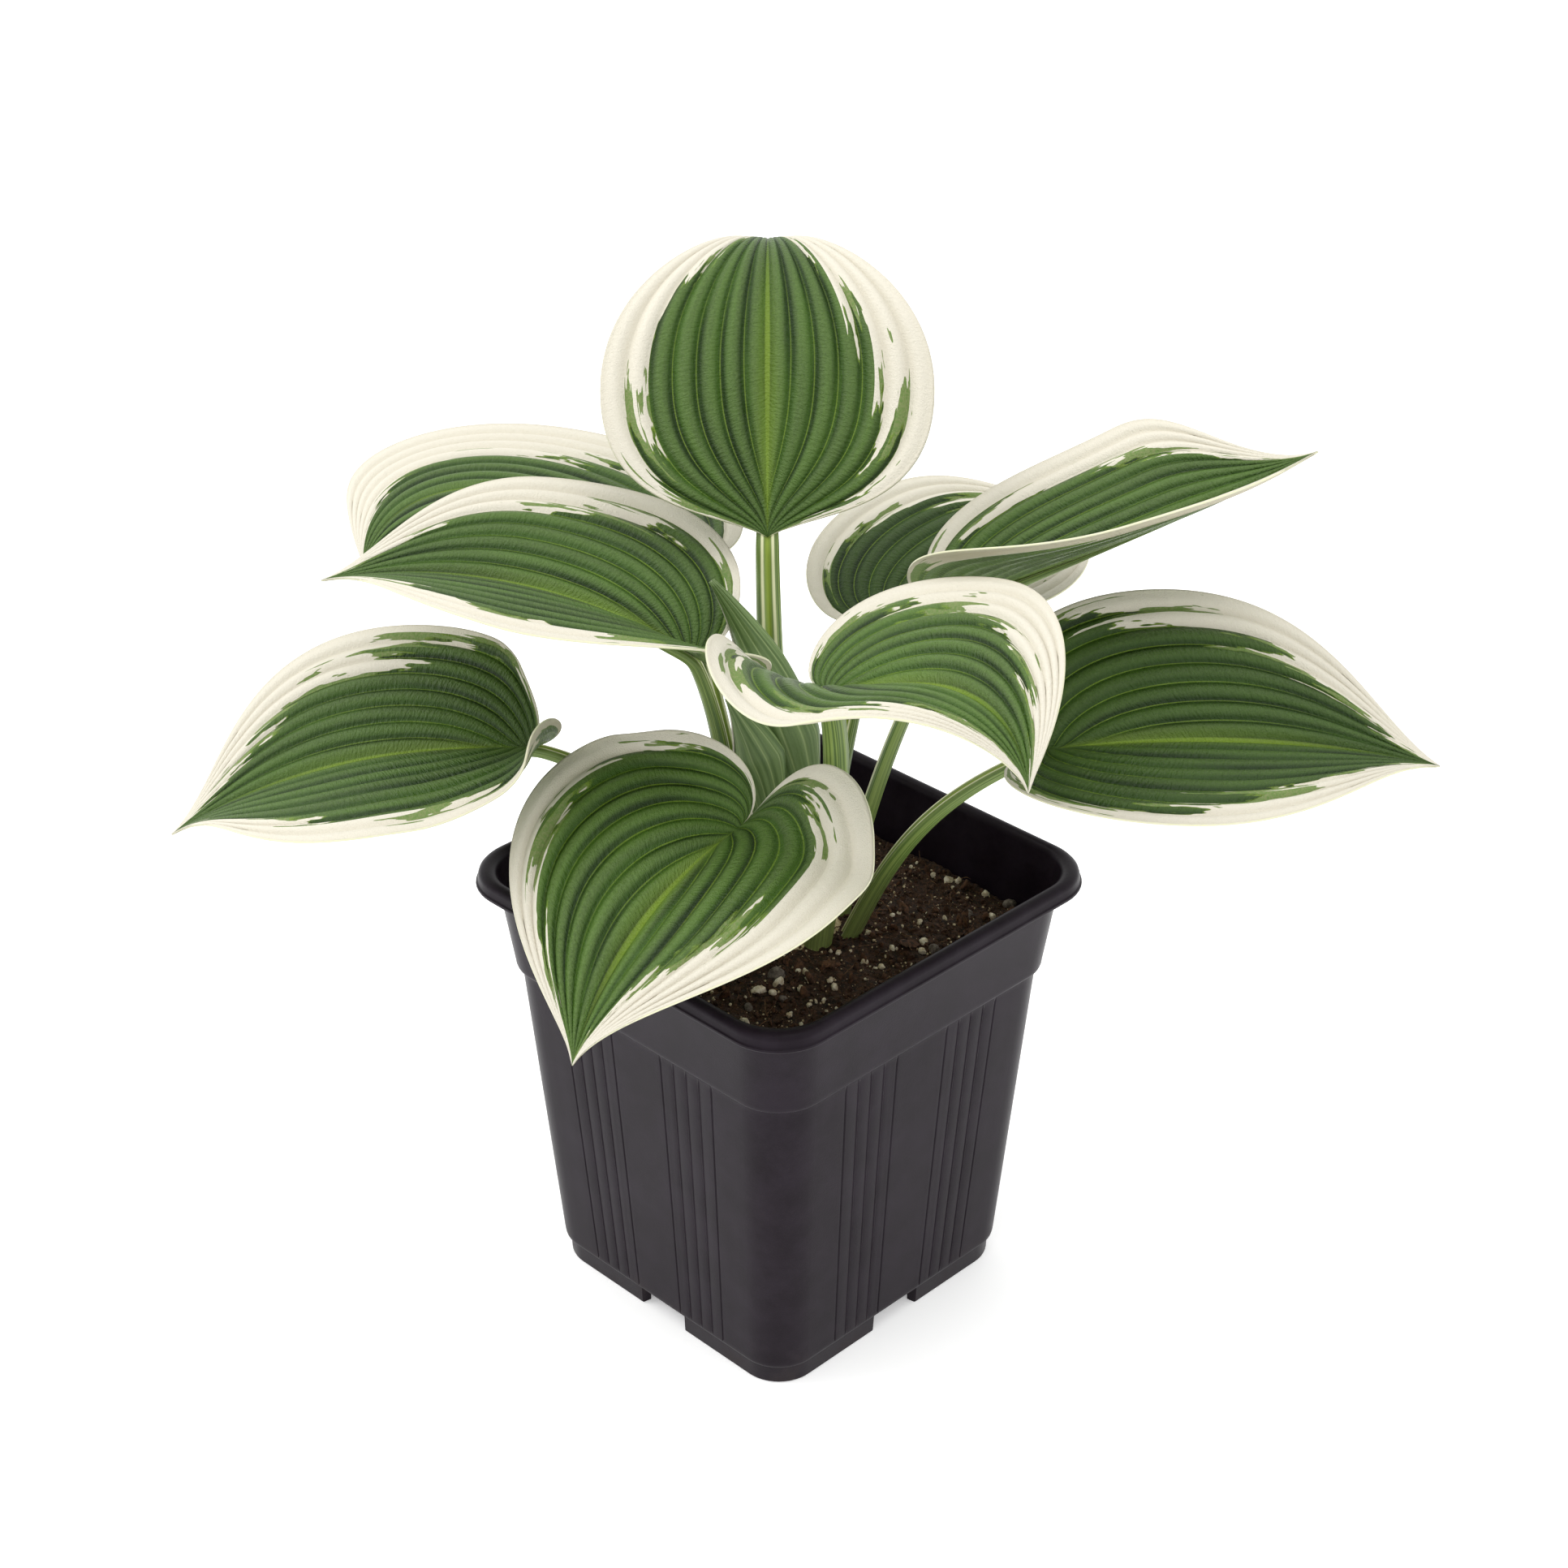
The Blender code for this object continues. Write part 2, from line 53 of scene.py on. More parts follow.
CAMERA_LENS = 67.77
CAMERA_SENSOR = 36.0
CAMERA_RISE = 29.7  # degrees above the horizon
CAMERA_TURN = 45  # degrees round from the pot's front
CAMERA_DISTANCE = 1.2382
CAMERA_UP = 0.19298
CAMERA_RIGHT = 0.002
LIGHTS = {  # place, point aimed at, width and watts
    "key": ((-1.7, -1.3, 2.4), (0, 0, 0.2), 2.2, 42),
    "side": ((2.2, 0.4, 1.4), (0, 0, 0.15), 1.6, 2),
    "above": ((0.5, 0.1, 2.7), (0, 0, 0.2), 1.8, 20),
}
SKY_STRENGTH = 1.1
FLOOR_HALF = 12
FLOOR_GLOW = 0.3

# ---------------------------------------------------------------- sizes

POT_NODES = ["nursery_pot", "near_foot", "right_foot", "back_foot", "left_foot"]
CORNER = 0.25  # corner radius of the pot as a share of its half width
BODY_LOW_Z = 0.0115
BODY_TOP_Z = 0.1395
WALL_MIDDLE = (0.0676, 0.0095)  # a half width and height halfway through the body's wall
WALL_SLOPE = 0.069
FLOOR_LOW = 0.0076
FLOOR_TOP = 0.0096
PLATE_HALF = 0.0655
SEAM = 0.0002  # between the floor plate and what lies against it
DRAIN_RADIUS = 0.006
DRAIN_OFFSET = 0.040
NOTCH_SHARE = 0.19
NOTCH_TOP = FLOOR_LOW - SEAM
FOOT_SOLE = 0.003  # what lies lower is the sole of the foot
SOLE_INNER_HALF = 0.0635
GROOVES = (0.18, 0.54)  # shares of the half width where each band of ribs starts and ends
RIDGES = (0.27, 0.36, 0.45)
GROOVE_WIDTH = 0.007
GROOVE_DEPTH = 0.0005
RIDGE_HEIGHT = 0.0002

SOIL_EDGE_Z = 0.159
SOIL_TOP_Z = 0.164
SOIL_HALF = 0.0778
SOIL_STEPS = 190
SOIL_WALL = ((0.0757, 0.142), (0.0660, 0.0080))  # half width and height, from the top down
GRAIN_REACH = 0.97  # shares of the soil's half width
FIBRE_REACH = 0.95
FIBRE_COUNT = 260
FIBRE_STEPS = 6

BLADE_THICKNESS = 0.0008
BLADE_STEPS = (100, 136)
PLEAT_SHARE = 0.26  # depth of a pleat as a share of its width
VEIN_START = 0.34
VEIN_RUN = 0.10
PLEAT_STEP = 0.94  # share of the green's edge that steps at each half pleat; the rest slopes
JUMP, FINGER, TOOTH = 0.18, 0.14, 0.07  # how far each moves the green's edge along the leaf
STEM_STEPS = 60
STEM_SIDES = 40
STEM_SINK = 13  # millimetres that a stem starts below the top of the crown
KEEL_RUN = (0.02, 0.8)  # shares of the blade's length
KEEL_POINT = 0.82  # where the keel would end in a point
KEEL_TAPER = 1.6
SMOOTHING = 6  # times that the bend between stem and keel is smoothed
ROLL_THICKNESS = 0.0006
ROLL_SIDES = 90
ROLL_VEINS = 13
LOT = 40  # small shapes are made this many at a time

# shade is painted shade: how far each leaf's green is darkened towards dark green
PLAIN = dict(lobe=(0.16, 0.16), wide=0.36, tip=0.12, sinus=0.06, shoulder=0.5, sweep=0, bend=0,
             droop=0, rear=0, roll=0, lift=(15, 15), curl=(-10, -10), funnel=(10, 10), reach=0.5,
             thick=(4.5, 2.8), veins=8, shade=0)
LEAVES = {
    "front": dict(
        base=(27, -46, 234), length=112, half=0.66, wide=0.2, shoulder=0.48, lobe=(0.38, 0.26),
        sinus=0, head=-91, sweep=18, pitch=-5, bend=-54, rear=-40, roll=-1, lift=(16, 16),
        curl=(-14, -16), funnel=(0, 5), foot=(10, -19), start=(4, -6, 26), end=(-2, -14, 16),
        near=(1.02, 1.04), far=(0.16, 0.50), seed=3),
    "top": dict(
        base=(-24, 18, 312), length=153, half=0.41, lobe=(-0.05, -0.05), sinus=0.3, head=135,
        pitch=65, droop=-125, lift=(5, 5), foot=(-12, 13), start=(-3, 2, 60), end=(-2, 2, 50),
        thick=(5.5, 4), veins=7, near=(1.02, 1.06), far=(0.40, 0.24), shade=0.1, seed=11),
    "right": dict(
        base=(97, 40, 259), length=145, half=0.44, wide=0.32, shoulder=0.55, tip=0.2,
        lobe=(0.14, 0.14), head=43, pitch=12, bend=-27, roll=17, lift=(19, 22), foot=(26, 9),
        start=(14, 9, 40), end=(34, 32, 22), near=(1.28, 1.12), far=(0.26, 0.40), shade=0.45,
        seed=17),
    "left": dict(
        base=(-61, -73, 243), length=142, half=0.45, wide=0.38, shoulder=0.6, lobe=(0.2, 0.08),
        head=-130, pitch=10, bend=-45, rear=-45, roll=-14, lift=(23, 12), curl=(-15, -10),
        funnel=(45, 10), reach=0.3, foot=(-5, -17), start=(-8, -4, 40), end=(-28, -26, 8),
        near=(1.10, 1.16), far=(0.50, 0.20), shade=0.2, seed=23),
    "centre": dict(
        base=(50, -25, 291), length=115, half=0.55, wide=0.22, lobe=(0.2, 0.25), head=5,
        sweep=-30, pitch=25, droop=-105, roll=-8, lift=(34, 2), curl=(-20, -10),
        funnel=(10, 62), reach=0.4, foot=(23, -3), start=(3, 5, 44), end=(8, -18, 40),
        thick=(6, 4), near=(0.98, 1.02), far=(0.24, 0.34), seed=31),
    "upleft": dict(
        base=(-23, -23, 278), length=145, half=0.44, shoulder=0.6, lobe=(0.22, 0.08), head=-140,
        pitch=35, bend=-50, roll=-10, lift=(26, 15), curl=(-10, -20), funnel=(45, 30),
        foot=(-14, -8), start=(-2, -2, 50), end=(-6, -14, 36), thick=(5, 3),
        near=(1.10, 1.00), far=(0.44, 0.40), shade=0.15, seed=41),
    "upright": dict(
        base=(37, 65, 292), length=141, half=0.40, wide=0.50, head=35, sweep=35, pitch=30,
        bend=-12, roll=7, lift=(15, 37), curl=(-5, -5), funnel=(20, 40), foot=(14, 18),
        start=(2, 12, 50), end=(8, 26, 30), near=(0.98, 1.00), far=(0.40, 0.50), shade=0.15,
        seed=47),
    "backright": dict(
        base=(-13, 70, 266), length=115, half=0.45, lobe=(0.2, 0.1), head=80, pitch=22, bend=-35,
        roll=8, lift=(14, 14), curl=(-10, -5), foot=(0, 20), start=(-2, 14, 50),
        end=(-2, 20, 30), near=(0.96, 0.96), far=(0.36, 0.36), shade=0.6, seed=53),
    "backleft": dict(
        base=(-72, 14, 292), length=144, half=0.43, wide=0.42, shoulder=0.9, tip=0.5, head=-164,
        sweep=85, pitch=15, droop=-80, lift=(0, 0), curl=(-10, 0), foot=(-18, 2),
        start=(-8, 2, 60), end=(-22, 4, 40), near=(0.96, 0.90), far=(0.40, 0.30), shade=0.1,
        seed=61),
}
YOUNG = {
    "tall": dict(points=[(5, 4, 158), (5, 12, 205), (-3, 12, 260), (-22, -13, 305)],
                 girth=[(0, 4.5), (0.3, 6), (0.55, 13), (0.75, 9), (0.9, 4), (1, 1)], seed=71),
    "short": dict(points=[(1, -8, 158), (-3, -5, 205), (2, -1, 235), (-10, -17, 262)],
                  girth=[(0, 4), (0.35, 5), (0.7, 10), (0.85, 6), (1, 1)], seed=83),
}


def paint_colour(red, green, blue):
    """A display colour, 0 to 255, as the linear one that a shader takes."""
    shares = [part / 255 for part in (red, green, blue)]
    return (*[s / 12.92 if s <= 0.04045 else ((s + 0.055) / 1.055) ** 2.4 for s in shares], 1)


# ---------------------------------------------------------------- shader maths

class Value:
    """An output of a shader node: arithmetic on it adds Math nodes to its material."""

    def __init__(self, paint, socket):
        self.paint = paint
        self.socket = socket

    def maths(self, operation, *others):
        inputs = dict(enumerate((self, *others)))
        return self.paint.node("ShaderNodeMath", {"operation": operation}, inputs)

    def __add__(self, other):
        return self.maths("ADD", other)

    def __mul__(self, other):
        return self.maths("MULTIPLY", other)

    def __sub__(self, other):
        return self.maths("SUBTRACT", other)

    def __rsub__(self, other):
        return self * -1 + other

    def __truediv__(self, other):
        return self.maths("DIVIDE", other)

    def __abs__(self):
        return self.maths("ABSOLUTE")

    def __gt__(self, other):
        return self.maths("GREATER_THAN", other)

    __radd__ = __add__
    __rmul__ = __mul__

    def rise(self, low, high):
        """0 below low, 1 above high, smooth between; low may be the larger."""
        return self.paint.node(
            "ShaderNodeMapRange", {"interpolation_type": "SMOOTHSTEP"},
            {"Value": self, "From Min": low, "From Max": high, "To Min": 0, "To Max": 1})


class Paint:
    """A material being made: its node tree and its one shader."""

    def __init__(self, name, **finish):
        self.material = bpy.data.materials.new(name)
        self.material.use_nodes = True
        self.tree = self.material.node_tree
        self.shader = self.tree.nodes["Principled BSDF"]
        self.finish(**finish)

    def fill(self, node, inputs):
        for key, value in inputs.items():
            if isinstance(value, Value):
                self.tree.links.new(value.socket, node.inputs[key])
            else:
                node.inputs[key].default_value = value

    def finish(self, **finish):
        """Sets the shader's own sockets, named in small letters."""
        self.fill(self.shader, {k.replace("_", " ").title().replace("Ior", "IOR"): v
                                for k, v in finish.items()})

    def node(self, kind, settings, inputs, output=0):
        made = self.tree.nodes.new(kind)
        for key, value in settings.items():
            setattr(made, key, value)
        self.fill(made, inputs)
        return Value(self, made.outputs[output])

    def surface(self):
        """The piece's own two coordinates, each 0 to 1."""
        spot = self.node("ShaderNodeUVMap", {"uv_map": "surface"}, {})
        return [self.node("ShaderNodeSeparateXYZ", {}, {0: spot}, axis) for axis in (0, 1)]

    def place(self):
        """The object coordinates in millimetres."""
        spot = self.node("ShaderNodeTexCoord", {}, {}, "Object")
        return self.node("ShaderNodeVectorMath", {"operation": "SCALE"},
                         {0: spot, "Scale": 1 / MM})

    def vector(self, x, y, z=0.0):
        return self.node("ShaderNodeCombineXYZ", {}, {0: x, 1: y, 2: z})

    def cloud(self, vector, scale=1.0, detail=2.0, roughness=0.5):
        return self.node("ShaderNodeTexNoise", {}, {
            "Vector": vector, "Scale": scale, "Detail": detail, "Roughness": roughness})

    def cells(self, vector, scale):
        return self.node("ShaderNodeTexVoronoi", {}, {"Vector": vector, "Scale": scale})

    def mix(self, share, low, high):
        """The colour low where share is 0, and high where it is 1."""
        return self.node("ShaderNodeMix", {"data_type": "RGBA"}, {0: share, 6: low, 7: high}, 2)

    def bump(self, height, strength, distance=0.001):
        return self.node("ShaderNodeBump", {}, {
            "Height": height, "Strength": strength, "Distance": distance})


# ---------------------------------------------------------------- finishes

CREAM = paint_colour(208, 203, 188)
CREAM_SHADE = paint_colour(194, 187, 165)
DARK_GREEN = paint_colour(24, 46, 4)
MID_GREEN = paint_colour(56, 86, 20)
# Painted highlight on the leaves' pleat crests, and the leaves' own colour in their olive blotches
SHEEN_AND_BLOTCH_GREEN = paint_colour(98, 124, 62)
OLIVE = paint_colour(118, 130, 80)
LIME = paint_colour(124, 150, 48)
PALE_UNDER = paint_colour(120, 142, 92)


def leaf_edge(paint, leaf, along, signed, vein):
    """How much farther the green centre runs along the leaf from a place on it. Each half pleat
    keeps its green up to another place, with teeth at its end."""
    left = signed > 0
    near_left, near_right = leaf["near"]
    far_left, far_right = leaf["far"]
    near = left * (near_left - near_right) + near_right
    far = left * (far_left - far_right) + far_right
    strips = leaf["veins"] * 2
    strip = (vein * strips).maths("FLOOR")
    jump = paint.node("ShaderNodeTexWhiteNoise", {"noise_dimensions": "1D"},
                      {"W": strip + left * 30 + leaf["seed"]})
    stepped = (strip + 0.5) * (PLEAT_STEP / strips) + vein * (1 - PLEAT_STEP)
    fingers = paint.cloud(paint.vector(signed * 15, along * 1.2, leaf["seed"]), detail=1.0)
    teeth = paint.cloud(paint.vector(signed * 34, along * 16, leaf["seed"] + 3))
    shift = ((jump - 0.5) * JUMP + (fingers.rise(0.36, 0.64) - 0.5) * FINGER
             + (teeth.rise(0.36, 0.64) - 0.5) * TOOTH)
    reach = (near - stepped) / (near - far) + shift - along
    margin = 0.93 + (teeth - 0.5) * 0.08 - vein
    return reach.maths("MINIMUM", margin * 3)


def leaf_paint(name, leaf, under=False):
    """Green centre and cream margin with fingers that run along the veins, with a painted highlight
    on the pleats' crests, painted shade in the cream's grooves and each leaf's own painted shade
    over its green.
    """
    paint = Paint(name, specular_ior_level=0.24)
    along, chart = paint.surface()
    signed = chart * 2 - 1
    vein = abs(signed)
    depth = leaf_edge(paint, leaf, along, signed, vein)
    patches = paint.cloud(paint.vector(signed * 12, along * 4, leaf["seed"] + 5), detail=3.0)
    green = depth.rise(-0.004, 0.004)
    olive = (depth + (patches.rise(0.5, 0.56) - 0.05) * 0.13).rise(-0.004, 0.004)
    fringe = depth.rise(0.025, 0.0)

    start = (along * (-1 / VEIN_RUN)).maths("EXPONENT") * VEIN_START
    out = (vein - start) / (1 - start)
    wave = abs((vein * (leaf["veins"] * pi)).maths("SINE"))
    mottle = paint.cloud(paint.vector(signed * 14, along * 2.2, leaf["seed"] + 9), detail=3.0)
    grain = paint.cloud(paint.place(), scale=1.1, detail=3.0)
    leafy = paint.mix(mottle.rise(0.34, 0.66), DARK_GREEN, MID_GREEN)
    # Painted highlight: the pleats' crests lighten towards soft green, by a random amount
    leafy = paint.mix(wave.rise(0.45, 1.0) * (0.2 + grain * 0.6), leafy, SHEEN_AND_BLOTCH_GREEN)
    # Painted shade: each leaf's green is darkened towards dark green by its own amount, most on the
    # leaves on the right and at the back
    leafy = paint.mix(leaf["shade"], leafy, DARK_GREEN)
    glow = out.rise(0.12, 0.0) * along.rise(0.9, 0.0) * 0.7
    lines = wave.rise(0.16, 0.05) * along.rise(1.0, 0.2) * 0.75
    midrib = out.rise(0.024, 0.008) * along.rise(1.1, 0.4)
    bright = glow.maths("MAXIMUM", lines).maths("MAXIMUM", midrib)
    leafy = paint.mix(bright * 0.7, leafy, LIME)
    leafy = paint.mix(fringe * 0.55, leafy, LIME)
    # Painted shade in the grooves along the veins darkens the cream, with random tone from the
    # grain
    cream = paint.mix((1 - wave) * 0.3 + (grain - 0.5) * 0.4, CREAM, CREAM_SHADE)
    blotch = paint.mix(grain.rise(0.35, 0.65), OLIVE, SHEEN_AND_BLOTCH_GREEN)
    colour = paint.mix(olive, cream, blotch)
    colour = paint.mix(green, colour, leafy)
    if under:
        colour = paint.mix(0.42, colour, PALE_UNDER)
        colour = paint.mix((1 - olive) * 0.8, colour, CREAM_SHADE)
    length, half = leaf["length"], leaf["half"] * leaf["length"]
    leather = paint.cloud(
        paint.vector(signed * half / 2.6, along * length / 0.9, 1), detail=3.0)
    skin = paint.cloud(paint.place(), scale=2.2, detail=2.0)
    height = leather * (0.3 + green * 0.7) + skin * 0.4
    paint.finish(base_color=colour, roughness=0.36 + (grain - 0.5) * 0.15 + (1 - green) * 0.10,
                 normal=paint.bump(height, 0.8, 0.0010))
    return paint.material


def rim_paint():
    """The thin cut edge of a blade."""
    paint = Paint("blade_edge", roughness=0.5)
    grain = paint.cloud(paint.place(), scale=0.5)
    paint.finish(base_color=paint.mix(grain, CREAM, paint_colour(214, 216, 170)))
    return paint.material


def stem_paint(name, seed):
    """Ribbed green stem with a yellow-green channel and cream lips."""
    paint = Paint(name, roughness=0.42, specular_ior_level=0.45)
    along, around = paint.surface()
    side = abs(around * 2 - 1)
    fibres = paint.cloud(paint.vector(around * 44, along * 1.6, seed), detail=3.0)
    fine = paint.cloud(paint.vector(around * 120, along * 5, seed + 2), detail=2.0)
    body = paint.mix(fibres.rise(0.35, 0.65), paint_colour(66, 92, 34),
                     paint_colour(128, 148, 76))
    body = paint.mix(along.rise(0.35, 0.0) * 0.5, body, paint_colour(150, 158, 96))
    channel = side.rise(0.16, 0.05)
    body = paint.mix(channel, body, paint_colour(140, 160, 58))
    lips = side.rise(0.13, 0.17) * side.rise(0.25, 0.20)
    body = paint.mix(lips * 0.9, body, paint_colour(222, 222, 180))
    paint.finish(base_color=body, roughness=0.36 + fine * 0.16,
                 normal=paint.bump(fibres * 0.7 + fine * 0.3, 0.45, 0.0008))
    return paint.material


def young_paint(name, seed):
    """A rolled young leaf seen from its pale underside, with lengthwise veins."""
    paint = Paint(name, roughness=0.42, specular_ior_level=0.45)
    along, around = paint.surface()
    wave = abs((around * (pi * ROLL_VEINS)).maths("SINE"))
    grain = paint.cloud(paint.place(), scale=0.8, detail=3.0)
    fibres = paint.cloud(paint.vector(around * 30, along * 2, seed), detail=3.0)
    body = paint.mix(fibres.rise(0.3, 0.7), paint_colour(72, 96, 46), paint_colour(112, 134, 82))
    body = paint.mix(wave.rise(0.3, 0.0) * 0.5, body, paint_colour(160, 176, 118))
    margin = abs(around - 0.5).rise(0.478, 0.49)
    body = paint.mix(margin, body, CREAM)
    paint.finish(base_color=body, roughness=0.38 + grain * 0.14,
                 normal=paint.bump(wave * 0.7 + grain * 0.4, 0.5, 0.0008))
    return paint.material


def pot_paint():
    """Charcoal moulded plastic with a soft satin skin, faint scuffs and a little dust."""
    paint = Paint("charcoal_plastic", specular_ior_level=0.10)
    place = paint.place()
    scuffs = paint.cloud(place, scale=0.06, detail=6.0, roughness=0.62)
    skin = paint.cloud(place, scale=1.6, detail=2.0)
    height = paint.node("ShaderNodeSeparateXYZ", {}, {0: place}, 2)
    dust = height.rise(24, 0) * scuffs.rise(0.42, 0.7)
    body = paint.mix(scuffs.rise(0.3, 0.75), paint_colour(23, 16, 23), paint_colour(33, 26, 34))
    body = paint.mix(dust * 0.3, body, paint_colour(70, 64, 58))
    paint.finish(base_color=body, roughness=0.30 + scuffs * 0.12 + dust * 0.2,
                 normal=paint.bump(skin, 0.10, 0.0004))
    return paint.material


def soil_paint(name, dark, light):
    """Moist crumbly peat: dark pits, brown crumbs and pale specks."""
    paint = Paint(name, roughness=0.9, specular_ior_level=0.3)
    place = paint.place()
    lumps = paint.cloud(place, scale=0.45, detail=5.0, roughness=0.65)
    crumbs = paint.cells(place, scale=0.9)
    specks = paint.cells(place, scale=1.5)
    body = paint.mix(lumps.rise(0.3, 0.7), dark, light)
    body = paint.mix(crumbs.rise(0.5, 0.1) * 0.4, body, paint_colour(104, 72, 50))
    body = paint.mix(specks.rise(0.12, 0.06), body, paint_colour(188, 164, 132))
    paint.finish(base_color=body, roughness=0.72 + lumps * 0.25,
                 normal=paint.bump(lumps * 0.6 + crumbs * 0.5, 0.7, 0.0012))
    return paint.material


def grain_paint(name, light, shade):
    """Perlite, bark, pebbles and crumbs: two colours in clouds over a rough skin."""
    paint = Paint(name, roughness=0.85, specular_ior_level=0.35)
    place = paint.place()
    cloud = paint.cloud(place, scale=0.5, detail=4.0, roughness=0.6)
    pores = paint.cells(place, scale=1.8)
    body = paint.mix(cloud.rise(0.35, 0.68), light, shade)
    paint.finish(base_color=body, roughness=0.7 + cloud * 0.25,
                 normal=paint.bump(pores * 0.6 + cloud * 0.6, 0.6, 0.0007))
    return paint.material


def crown_paint():
    """Cream-brown skin of the crown and its fleshy roots."""
    paint = Paint("crown_and_root_skin", roughness=0.7)
    cloud = paint.cloud(paint.place(), scale=0.25, detail=5.0)
    paint.finish(base_color=paint.mix(cloud.rise(0.35, 0.7), paint_colour(206, 192, 150),
                                      paint_colour(142, 116, 76)),
                 roughness=0.6 + cloud * 0.25, normal=paint.bump(cloud, 0.5, 0.001))
    return paint.material


def floor_paint():
    """Plain white, and a little bright of itself, so that the shadows stay pale."""
    paint = Paint("studio_floor", roughness=0.75, specular_ior_level=0.2,
                  emission_color=(1, 1, 1, 1), emission_strength=FLOOR_GLOW)
    cloud = paint.cloud(paint.place(), scale=0.01)
    paint.finish(base_color=paint.mix(cloud, paint_colour(250, 250, 250),
                                      paint_colour(252, 252, 252)))
    return paint.material


# ---------------------------------------------------------------- shapes

def placed(name, data):
    """A new object in the scene."""
    obj = bpy.data.objects.new(name, data)
    bpy.context.scene.collection.objects.link(obj)
    return obj


def grown_grid(steps, place):
    """A grid whose points are moved by place(along, across), along 0 to 1 and across -1 to 1.
    Its surface map keeps where they were."""
    bm = bmesh.new()
    bmesh.ops.create_grid(bm, x_segments=steps[0], y_segments=steps[1], size=1)
    layer = bm.loops.layers.uv.new("surface")
    for face in bm.faces:
        for loop in face.loops:
            loop[layer].uv = ((loop.vert.co.x + 1) / 2, (loop.vert.co.y + 1) / 2)
    verts = list(bm.verts)
    flat = np.array([vert.co for vert in verts])
    for vert, point in zip(verts, place((flat[:, 0] + 1) / 2, flat[:, 1])):
        vert.co = point
    bmesh.ops.remove_doubles(bm, verts=bm.verts, dist=1e-6)
    return bm


def close_ends(bm):
    """Caps each open loop of edges with one face."""
    bmesh.ops.holes_fill(bm, edges=[edge for edge in bm.edges if edge.is_boundary], sides=0)


def piece(bm, name, nodes, slot, *paints, sharp=40):
    """Turns the bmesh into a finished piece that stands for these CAD nodes."""
    mesh = bpy.data.meshes.new(name)
    bm.to_mesh(mesh)
    bm.free()
    obj = placed(name, mesh)
    for paint in paints:
        mesh.materials.append(paint)
    mesh.shade_smooth()
    mesh.set_sharp_from_angle(angle=radians(sharp))
    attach(obj, "root")
    if nodes:
        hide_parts(*nodes)
    return obj


def outward(bm):
    bmesh.ops.recalc_face_normals(bm, faces=bm.faces)


def only(kind, parts):
    """The vertices, edges or faces among what an operator made."""
    return [part for part in parts if isinstance(part, kind)]


def thicken(sheet, thickness):
    """Gives the sheet its thickness, half to each side."""
    thick = sheet.modifiers.new("thickness", "SOLIDIFY")
    thick.thickness = thickness
    thick.offset = 0
    return thick


def bezier(points, steps):
    """Points on the cubic curve through four control points."""
    t = np.linspace(0, 1, steps + 1)[:, None]
    a, b, c, d = (np.array(p, float) for p in points)
    return (1 - t) ** 3 * a + 3 * (1 - t) ** 2 * t * b + 3 * (1 - t) * t * t * c + t ** 3 * d


def at_shares(where, share, table):
    """The rows of the table, one for each share, read off at other shares."""
    return np.stack([np.interp(where, share, table[:, axis]) for axis in range(3)], -1)


def directions(line, facing):
    """At each point of the line, the direction across it that is nearest to facing, and the one
    at right angles to both."""
    tangent = np.gradient(line, axis=0)
    tangent /= np.linalg.norm(tangent, axis=1)[:, None]
    face = facing - tangent * (tangent @ facing)[:, None]
    face /= np.linalg.norm(face, axis=1)[:, None]
    return face, np.cross(tangent, face)


# ---------------------------------------------------------------- leaves

def outline(leaf, lobe, steps=400):
    """The flat margin from base to tip for a blade one unit long, and the share run so far."""
    wide, half = leaf["wide"], leaf["half"]
    back = bezier([(0, 0), (-1.35 * lobe, leaf["sinus"] * half), (-0.95 * lobe, half),
                   (wide, half)], steps)
    front = bezier([(wide, half), (wide + leaf["shoulder"] * (1 - wide), half),
                    (0.8, leaf["tip"] * half), (1, 0)], steps)
    line = np.vstack([back, front[1:]])
    run = np.r_[0, np.cumsum(np.hypot(*np.diff(line, axis=0).T))]
    return run / run[-1], line


def spine(leaf):
    """The midrib's points with its side and upward directions, at shares of the length."""
    share = np.linspace(-0.4, 1.02, 285)
    ahead = np.maximum(share, 0)
    behind = np.clip((0.10 - share) / 0.25, 0, 1)
    pitch = np.radians(leaf["pitch"] + leaf["bend"] * ahead + leaf["droop"] * ahead ** 3
                       + leaf["rear"] * behind ** 2 * (3 - 2 * behind))
    head = np.radians(leaf["head"] + leaf["sweep"] * ahead ** 2)
    level = np.stack([np.cos(head), np.sin(head), 0 * head], -1)
    left = np.stack([-np.sin(head), np.cos(head), 0 * head], -1)
    up = np.array([0, 0, 1])
    along = level * np.cos(pitch)[:, None] + up * np.sin(pitch)[:, None]
    normal = up * np.cos(pitch)[:, None] - level * np.sin(pitch)[:, None]
    tilt = radians(leaf["roll"])
    side = left * cos(tilt) + normal * sin(tilt)
    normal = normal * cos(tilt) - left * sin(tilt)
    steps = np.diff(share)[:, None] * leaf["length"] * MM
    line = np.vstack([[0, 0, 0], np.cumsum((along[1:] + along[:-1]) / 2 * steps, 0)])
    start = at_shares(0, share, line)
    return share, line - start + np.array(leaf["base"]) * MM, side, normal


